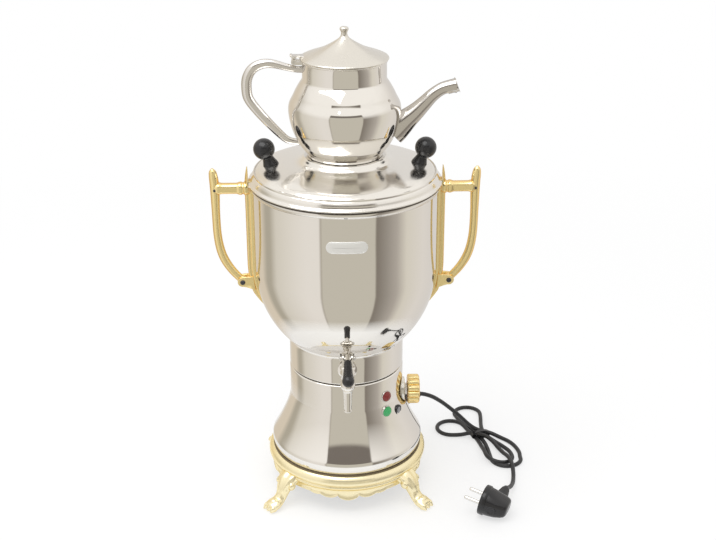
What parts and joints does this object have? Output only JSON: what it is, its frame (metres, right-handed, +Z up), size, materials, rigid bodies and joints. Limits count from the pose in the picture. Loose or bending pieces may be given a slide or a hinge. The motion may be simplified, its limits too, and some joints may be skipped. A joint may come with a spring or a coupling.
{
  "type": "samovar",
  "caption": "Electric samovar with a drip-free lever tap, two side handles, a lift-off lid and a teapot that stands on the lid.",
  "frame": {"origin": "centre of the boiler's axis on the plane that the four feet stand on", "axes": "+Z up along the boiler's axis, -Y towards the tap, +X towards the thermostat knob; the side handles lie on -X and +X"},
  "size_m": [0.371, 0.291, 0.5553],
  "materials": {
    "mirror_steel": "mirror-polished stainless steel",
    "satin_steel": "plain machined or drawn steel",
    "dial_plate": "polished plate",
    "pale_gold": "pale gold plated casting, bright",
    "gold": "gold plated casting, bright",
    "black_plastic": "moulded phenolic, glossy",
    "black_rubber": "soft black",
    "grey_plastic": "moulded, satin",
    "red_lens": "translucent moulded lens",
    "green_lens": "translucent moulded lens",
    "dark_sheet": "dark painted sheet",
    "seal_rubber": "silicone rubber",
    "white_plastic": "heat-proof moulding",
    "wire_sleeve": "silicone sleeve",
    "copper": "copper",
    "pin_metal": "nickel plated"
  },
  "bodies": {
    "base": {"base_casting": "pale_gold", "foot_pads": "black_rubber", "base_plate": "dark_sheet", "tie_rod": "satin_steel", "tie_nut": "satin_steel", "bell_shell": "mirror_steel", "neck_gasket": "seal_rubber", "boiler_shell": "mirror_steel", "name_plate": "satin_steel", "heating_element": "satin_steel", "element_seals": "seal_rubber", "element_nuts": "satin_steel", "heater_wires": "wire_sleeve", "sensor_bulb": "copper", "sensor_clip": "satin_steel", "terminal_block": "white_plastic", "wiring_bracket": "satin_steel", "thermostat_body": "white_plastic", "thermostat_nut": "satin_steel", "thermostat_bezel": "dial_plate", "red_lamp": "red_lens", "green_lamp": "green_lens", "lamp_holders": "satin_steel", "reset_housing": "black_plastic", "left_bracket": "gold", "left_grip": "gold", "right_bracket": "gold", "right_grip": "gold", "handle_screws": "satin_steel", "tap_body": "mirror_steel", "tap_flange": "mirror_steel", "tap_washers": "seal_rubber", "tap_backnut": "mirror_steel", "tap_bonnet": "mirror_steel", "tap_pin": "satin_steel", "cord_gland": "black_rubber", "cord_lead": "black_rubber", "cord_hank": "black_rubber", "cord_tail": "black_rubber", "plug_body": "black_plastic", "plug_pins": "pin_metal"},
    "dial": {"thermostat_spindle": "satin_steel", "thermostat_knob": "gold"},
    "button": {"reset_button": "grey_plastic"},
    "tap_handle": {"tap_lever": "mirror_steel", "tap_grip": "black_plastic"},
    "plunger": {"tap_plunger": "satin_steel", "tap_spring": "satin_steel"},
    "lid": {"boiler_lid": "mirror_steel", "lid_locating_ring": "mirror_steel", "teapot_rest": "mirror_steel", "lid_knobs": "black_plastic", "lid_knob_screws": "mirror_steel"},
    "teapot": {"teapot_body": "mirror_steel", "teapot_spout": "mirror_steel", "teapot_handle": "mirror_steel", "hinge_bracket": "mirror_steel", "hinge_pin": "satin_steel"},
    "teapot_cover": {"teapot_lid": "mirror_steel", "lid_leaf": "mirror_steel"}
  },
  "joints": [
    {"name": "tap_lever_hinge", "type": "hinge", "parent": "base", "child": "tap_handle", "pos_m": [0, -0.09, 0.205], "axis": [-1, 0, 0], "range_deg": [0, 75]},
    {"name": "tap_plunger_slide", "type": "slide", "parent": "base", "child": "plunger", "axis": [0, 0, 1], "range_m": [0, 0.00205], "deforming": ["tap_spring"]},
    {"name": "thermostat_turn", "type": "hinge", "parent": "base", "child": "dial", "pos_m": [0.07, 0, 0.117], "axis": [-1, 0, 0], "range_deg": [0, 270]},
    {"name": "reset_press", "type": "slide", "parent": "base", "child": "button", "axis": [-0.866, 0.5, 0], "range_m": [0, 0.002], "stiffness_N_per_m": 400, "springref_m": -0.001},
    {"name": "lid_lift", "type": "slide", "parent": "base", "child": "lid", "axis": [0, 0, 1], "range_m": [0, 0.12]},
    {"name": "teapot_lift", "type": "slide", "parent": "lid", "child": "teapot", "axis": [0, 0, 1], "range_m": [0, 0.1]},
    {"name": "teapot_lid_hinge", "type": "hinge", "parent": "teapot", "child": "teapot_cover", "pos_m": [-0.0543, 0, 0.5184], "axis": [0, -1, 0], "range_deg": [0, 75]}
  ],
  "couplings": [
    {"joint": "tap_plunger_slide", "follows": "tap_lever_hinge", "m_per_rad": 0.001528}
  ]
}
